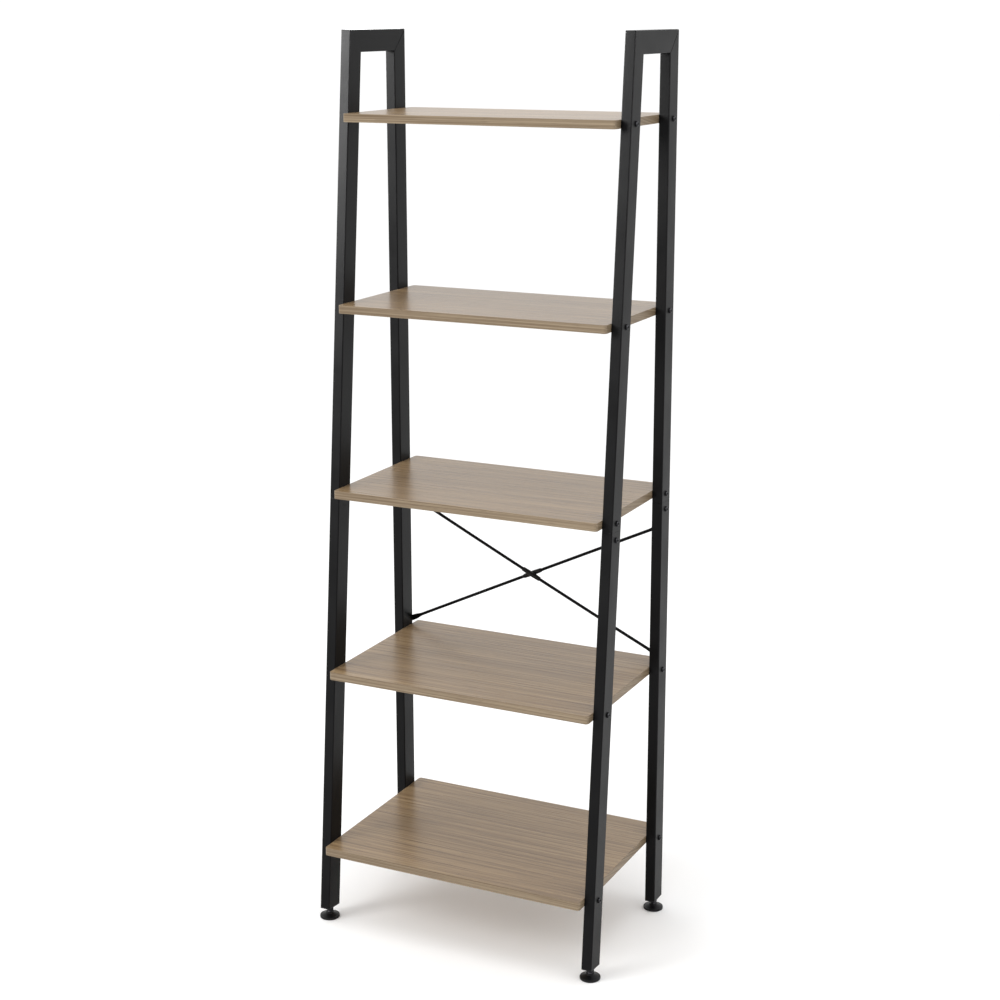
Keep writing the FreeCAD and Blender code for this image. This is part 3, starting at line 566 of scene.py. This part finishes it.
def rodSection(x):
    # half thickness, half height and level of the rod's section at a distance from the crossing
    fromEye = reach - abs(x)
    t = min(max((fromEye - brace["flatTo"]) / (brace["roundFrom"] - brace["flatTo"]), 0), 1)
    t = t * t * (3 - 2 * t)
    thick = brace["plate"] / 2 + (brace["rod"] - brace["plate"]) / 2 * t
    tall = brace["neck"] / 2 + (brace["rod"] - brace["neck"]) / 2 * t
    level = (brace["flange"] + brace["plate"] / 2) * (1 - t) + rodRise * t
    return thick, tall, level


def buildRod(name, way, turn, replaced):
    # way is the side the rod bows to where the two pass: -1 towards the front, 1 towards the rear
    bm = bmesh.new()
    taper = (brace["roundFrom"] - brace["flatTo"]) / brace["taperSteps"]
    distances = [brace["tip"], brace["neckAt"]]
    distances += [brace["flatTo"] + taper * step for step in range(brace["taperSteps"] + 1)]
    ends = [reach - d for d in distances]
    middles = [ends[-1] * (1 - step / brace["bowSteps"]) for step in range(1, brace["bowSteps"])]
    stations = [-x for x in ends] + [-x for x in middles] + [0.0] + middles[::-1] + ends[::-1]
    ring = bmesh.ops.create_circle(bm, segments=brace["sides"], radius=1, cap_ends=True)["verts"]
    bmesh.ops.rotate(bm, matrix=Matrix.Rotation(math.radians(90), 3, "Y"), verts=ring)
    unit = [v.co.copy() for v in ring]

    def settle(verts, x):
        thick, tall, level = rodSection(x)
        sag = way * brace["bow"] * (1 - (x / ends[-1]) ** 2) if abs(x) < ends[-1] else 0
        for vert, co in zip(verts, unit):
            vert.co = Vector((x, level + sag + co.y * thick, co.z * tall))

    settle(ring, stations[0])
    edges = bm.edges[:]
    for x in stations[1:]:
        grown = bmesh.ops.extrude_edge_only(bm, edges=edges)["geom"]
        fresh = newVerts(grown)
        edges = newEdges(grown, fresh)
        settle(fresh, x)
    bmesh.ops.contextual_create(bm, geom=edges)
    bmesh.ops.recalc_face_normals(bm, faces=bm.faces[:])
    # the pressed eyes, with their edges rounded
    eye = bmesh.new()
    half, hole, outer = brace["plate"] / 2, brace["eyeHole"] / 2, brace["eye"] / 2
    outline = [(hole, -half), (outer, -half), (outer, half), (hole, half), (hole, -half)]
    turnProfile(eye, outline, brace["eyeSteps"], (0, 1, 0))
    bmesh.ops.recalc_face_normals(eye, faces=eye.faces[:])
    roundEdges(eye, brace["eyeRound"], 3, 50)
    pattern = bpy.data.meshes.new("eyePattern")
    eye.to_mesh(pattern)
    eye.free()
    for x in (-reach, reach):
        stamp(bm, pattern, Matrix.Translation((x, brace["flange"] + half, 0)))
    laid = Matrix.Translation(crossing) @ Matrix.Rotation(turn, 4, "Y")
    bmesh.ops.transform(bm, matrix=laid, verts=bm.verts)
    return finishPiece(name, bm, powderCoat, "frame", [replaced],
                       brace["crispAngle"])


buildRod("brace_rod_left_high_formed", -1, tilt, "brace_rod_left_high")
buildRod("brace_rod_right_high_formed", 1, -tilt, "brace_rod_right_high")
braceSpots = [(Vector((x, plateBack + brace["plate"], z)), 90)
              for x in (-postX, postX) for z in (braceLow, braceHigh)]
screwGroup("brace_button_screws", braceScrew, braceSpots, "brace_screws")

clip = {"armMiddle": 0.0058, "armEnd": 0.0050, "arm": 0.020, "wall": 0.0020, "mouth": 95, "taper": 1.5,
        "stations": (-0.0185, -0.012, -0.006, 0, 0.006, 0.012, 0.0185, 0.020), "sides": 22,
        "boss": 0.0095, "bossDome": 0.0012, "bossRim": 0.0006, "bossSteps": 36, "arris": 0.0004,
        "crispAngle": 35}


def clipArm(bm, level, turn):
    # a tube open towards the rear that snaps over the rod, thinner towards its ends
    part = bmesh.new()
    gap = math.radians(clip["mouth"])
    radius = clip["armMiddle"] - clip["wall"] / 2
    first = part.verts.new((-clip["arm"], radius * math.cos(gap / 2), radius * math.sin(gap / 2)))
    bmesh.ops.spin(part, geom=[first], cent=(-clip["arm"], 0, 0), axis=(1, 0, 0),
                   angle=2 * math.pi - gap, steps=clip["sides"])
    edges = part.edges[:]
    for x in clip["stations"]:
        grown = bmesh.ops.extrude_edge_only(part, edges=edges)["geom"]
        fresh = newVerts(grown)
        edges = newEdges(grown, fresh)
        for vert in fresh:
            vert.co.x = x
    for vert in part.verts:
        out = abs(vert.co.x) / clip["arm"]
        taper = 1 - (1 - clip["armEnd"] / clip["armMiddle"]) * out ** clip["taper"]
        vert.co.y *= taper
        vert.co.z *= taper
    bmesh.ops.recalc_face_normals(part, faces=part.faces[:])
    bmesh.ops.solidify(part, geom=part.faces[:], thickness=clip["wall"])
    bmesh.ops.recalc_face_normals(part, faces=part.faces[:])
    roundEdges(part, clip["arris"], 2, 50)
    pattern = bpy.data.meshes.new("armPattern")
    part.to_mesh(pattern)
    part.free()
    stamp(bm, pattern, Matrix.Rotation(turn, 4, "Y") @ Matrix.Translation((0, level, 0)))


def buildClip():
    bm = bmesh.new()
    clipArm(bm, rodRise - brace["bow"], tilt)
    clipArm(bm, rodRise + brace["bow"], -tilt)
    boss = bmesh.new()
    depth = brace["bow"] + brace["rod"] / 2
    radius, rim = clip["boss"] / 2, clip["bossRim"]
    profile = [(0, -depth - clip["bossDome"] * 0.4), (radius * 0.45, -depth - clip["bossDome"] * 0.3),
               (radius * 0.55, -depth), (radius, -depth + rim), (radius, depth - rim),
               (radius * 0.55, depth), (radius * 0.45, depth + clip["bossDome"] * 0.3),
               (0, depth + clip["bossDome"] * 0.4)]
    turnProfile(boss, profile, clip["bossSteps"], (0, 1, 0))
    bmesh.ops.recalc_face_normals(boss, faces=boss.faces[:])
    roundEdges(boss, clip["arris"], 2, 25)
    bmesh.ops.translate(boss, vec=(0, rodRise, 0), verts=boss.verts)
    pattern = bpy.data.meshes.new("bossPattern")
    boss.to_mesh(pattern)
    boss.free()
    stamp(bm, pattern, Matrix())
    bmesh.ops.translate(bm, vec=crossing, verts=bm.verts)
    return finishPiece("brace_cross_clip_moulded", bm, mouldedNylon, "frame",
                       ["brace_cross_clip"], clip["crispAngle"])


buildClip()
print("brace made")


# levelling feet
foot = {"padRadius": 0.019, "rim": 0.005, "boss": 0.008, "bossTop": 0.011, "cone": 0.008, "ball": 0.0055,
        "ballPlay": 0.0003, "thread": 0.004, "pitch": 0.00125, "threadDepth": 0.00065, "turnSteps": 20,
        "neck": 0.0038, "neckFrom": 0.0045, "neckSunk": 0.001, "collar": 0.013, "collarBase": 0.0072,
        "collarHeight": 0.0045, "collarRound": 0.0004, "padSteps": 48, "ballSteps": 32}


def buildPad(side, row):
    low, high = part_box(f"{side}_{row}_foot_pad")
    middle = (low + high) / 2
    r, rim, top = foot["padRadius"], foot["rim"], foot["bossTop"]
    ball = foot["ball"] + foot["ballPlay"]
    centre = columns[side, row]["base"].z
    socket = [(math.sqrt(max(ball ** 2 - (top - centre) ** 2, 0)), top)]
    for degrees in (20, 10, 0, -15, -30, -45, -60, -75, -90):
        t = math.radians(degrees)
        socket.append((ball * math.cos(t), centre + ball * math.sin(t)))
    boss, cone = foot["boss"], foot["cone"]
    # hollow underside, rounded rim, a shallow groove inside it, then the cone up to the boss
    profile = [(0, 0.0003), (0.012, 0.0003), (0.0125, 0), (r - 0.0009, 0), (r - 0.0002, 0.0006),
               (r, 0.0015), (r, rim - 0.0012), (r - 0.0003, rim - 0.0004), (r - 0.0011, rim),
               (r - 0.0022, rim - 0.0002), (r - 0.003, rim + 0.0001), (boss + 0.0035, cone - 0.0009),
               (boss + 0.001, cone), (boss, cone + 0.0009), (boss - 0.0002, top - 0.0006),
               (boss - 0.0008, top)] + socket
    bm = bmesh.new()
    turnProfile(bm, profile, foot["padSteps"])
    bmesh.ops.recalc_face_normals(bm, faces=bm.faces[:])
    bmesh.ops.translate(bm, vec=(middle.x, middle.y, low.z), verts=bm.verts)
    return finishPiece(f"{side}_{row}_foot_pad_moulded", bm, mouldedAbs, f"{side}_{row}_pad",
                       [f"{side}_{row}_foot_pad"], 35)


def threadedShank(length):
    # a ridge one pitch high, wound up the shank, with plain ends
    bm = bmesh.new()
    major, minor, pitch = foot["thread"], foot["thread"] - foot["threadDepth"], foot["pitch"]
    spots = [(minor, 0), (minor, pitch * 0.15), (major, pitch * 0.45), (major, pitch * 0.6),
             (minor, pitch * 0.9), (minor, pitch)]
    verts = [bm.verts.new((r, 0, z - pitch)) for r, z in spots]
    edges = [bm.edges.new(pair) for pair in zip(verts, verts[1:])]
    turns = math.ceil(length / pitch) + 2
    bmesh.ops.spin(bm, geom=verts + edges, cent=(0, 0, 0), axis=(0, 0, 1),
                   dvec=(0, 0, pitch / foot["turnSteps"]), angle=2 * math.pi * turns,
                   steps=turns * foot["turnSteps"])
    bmesh.ops.remove_doubles(bm, verts=bm.verts[:], dist=2e-6)
    for height, outwards in ((0, -1), (length, 1)):
        end = Vector((0, 0, height))
        up = Vector((0, 0, outwards))
        cutOff(bm, end, up)
        rim = [e for e in bm.edges if e.is_boundary and liesOn(e, end, up)]
        bmesh.ops.holes_fill(bm, edges=rim, sides=0)
    bmesh.ops.recalc_face_normals(bm, faces=bm.faces[:])
    return bm


def buildStud(side, row):
    low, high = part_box(f"{side}_{row}_foot_stud")
    base, up = columns[side, row]["base"], columns[side, row]["up"]
    # a leaning stud's box reaches past its end by the tipped edge of the end face
    top = (high.z - base.z) / up.z - foot["thread"] * abs(up.y)
    collarTop = foot["collarBase"] + foot["collarHeight"]
    bm = threadedShank(top - collarTop)
    bmesh.ops.translate(bm, vec=(0, 0, collarTop), verts=bm.verts)
    # hexagon collar with turned-off corners
    collar = bmesh.new()
    across = foot["collar"]
    bmesh.ops.create_cone(collar, cap_ends=True, segments=6, radius1=across / math.sqrt(3),
                          radius2=across / math.sqrt(3), depth=foot["collarHeight"])
    bmesh.ops.rotate(collar, matrix=Matrix.Rotation(math.radians(30), 3, "Z"), verts=collar.verts)
    roundEdges(collar, foot["collarRound"], 2, 30)
    collarMiddle = foot["collarBase"] + foot["collarHeight"] / 2
    bmesh.ops.translate(collar, vec=(0, 0, collarMiddle), verts=collar.verts)
    # neck and ball
    ball = bmesh.new()
    neck, neckTop = foot["neck"], collarTop - foot["neckSunk"]
    arc = [(foot["ball"] * math.cos(math.radians(a)), foot["ball"] * math.sin(math.radians(a)))
           for a in range(-90, 41, 10)]
    turnProfile(ball, arc + [(neck, foot["neckFrom"]), (neck, neckTop), (0, neckTop)], foot["ballSteps"])
    for part in (collar, ball):
        bmesh.ops.recalc_face_normals(part, faces=part.faces[:])
        pattern = bpy.data.meshes.new("studPart")
        part.to_mesh(pattern)
        part.free()
        stamp(bm, pattern, Matrix())
    bmesh.ops.transform(bm, matrix=columnMatrix(side, row, base), verts=bm.verts)
    return finishPiece(f"{side}_{row}_foot_stud_threaded", bm, blackZinc, f"{side}_{row}_stud",
                       [f"{side}_{row}_foot_stud"], 30, False)


for side, row in corners:
    buildPad(side, row)
    buildStud(side, row)
print("feet made")


# floor, light and camera
studio = {"floorColour": "#FEFEFE", "floorRoughness": 0.7, "floorSize": 60, "world": 1.05}
bm = bmesh.new()
bmesh.ops.create_grid(bm, x_segments=1, y_segments=1, size=studio["floorSize"] / 2)
floorMesh = bpy.data.meshes.new("studioFloor")
bm.to_mesh(floorMesh)
bm.free()
floorPaint = newMaterial("paleStudioFloor", {"Roughness": studio["floorRoughness"],
                                             "Base Color": linear(studio["floorColour"])})[0]
floorMesh.materials.append(floorPaint)
floor = bpy.data.objects.new("studioFloor", floorMesh)
bpy.context.scene.collection.objects.link(floor)

world = bpy.data.worlds.new("studio")
bpy.context.scene.world = world
world.use_nodes = True
world.node_tree.nodes["Background"].inputs["Color"].default_value = (1, 1, 1, 1)
world.node_tree.nodes["Background"].inputs["Strength"].default_value = studio["world"]

lamps = {
    # name: (place, aim, width, height, watts, is a highlight on the dark pieces only)
    "keySoftbox": ((-2.3, -2.8, 2.6), (0, 0, 1.2), 1.5, 2.0, 60, False),
    "topSoftbox": ((0.2, -0.4, 4.0), (0, 0, 0.8), 2.6, 2.6, 35, False),
    "frontHighlight": ((-2.4, -2.7, 2.75), (0, 0, 1.3), 1.6, 2.0, 480, True),
    "rearHighlight": ((-2.4, 2.8, 2.6), (0, 0, 1.2), 1.6, 2.0, 200, True),
    "leftHighlight": ((-3.4, 0.6, 2.7), (0, 0, 1.2), 1.8, 1.8, 260, True),
    "rightHighlight": ((3.4, -0.2, 2.7), (0, 0, 1.2), 1.8, 1.8, 260, True),
}
darkPieces = bpy.data.collections.new("darkPieces")
for piece in bpy.context.scene.objects:
    # the sheen is for the tubes, screws and studs; the rods, clip and pads stay plain black
    if piece.name.endswith(("_tube", "_button_screws", "_stud_threaded")):
        darkPieces.objects.link(piece)
for name, (place, aim, width, height, watts, darkOnly) in lamps.items():
    lamp = bpy.data.lights.new(name, "AREA")
    lamp.shape = "RECTANGLE"
    lamp.size = width
    lamp.size_y = height
    lamp.energy = watts
    holder = bpy.data.objects.new(name, lamp)
    holder.location = place
    holder.rotation_euler = (Vector(aim) - Vector(place)).to_track_quat("-Z", "Y").to_euler()
    # softboxes give the plain light; highlight lamps show only as a sheen on the dark pieces
    holder.visible_glossy = darkOnly
    holder.visible_diffuse = not darkOnly
    if darkOnly:
        holder.light_linking.receiver_collection = darkPieces
    bpy.context.scene.collection.objects.link(holder)

# place in metres, angles in radians, lens and sensor in millimetres
view = {"place": (1.5066, -3.0299, 1.7100), "azimuth": 0.4614, "down": 0.2406, "roll": -0.0027,
        "lens": 68.08, "sensor": 36, "shiftX": 0.00744, "shiftY": -0.02697}
camera = bpy.data.cameras.new("camera")
camera.sensor_width = view["sensor"]
camera.lens = view["lens"]
camera.shift_x = view["shiftX"]
camera.shift_y = view["shiftY"]
level = math.cos(view["down"])
ahead = Vector((-math.sin(view["azimuth"]) * level, math.cos(view["azimuth"]) * level,
                -math.sin(view["down"])))
right = Vector((math.cos(view["azimuth"]), math.sin(view["azimuth"]), 0))
above = right.cross(ahead)
rolledRight = math.cos(view["roll"]) * right + math.sin(view["roll"]) * above
rolledAbove = math.cos(view["roll"]) * above - math.sin(view["roll"]) * right
stand = bpy.data.objects.new("camera", camera)
facing = Matrix((rolledRight, rolledAbove, -ahead)).transposed().to_4x4()
stand.matrix_world = Matrix.Translation(view["place"]) @ facing
bpy.context.scene.collection.objects.link(stand)
bpy.context.scene.camera = stand
bpy.context.scene.view_settings.view_transform = "Standard"
print("studio made")
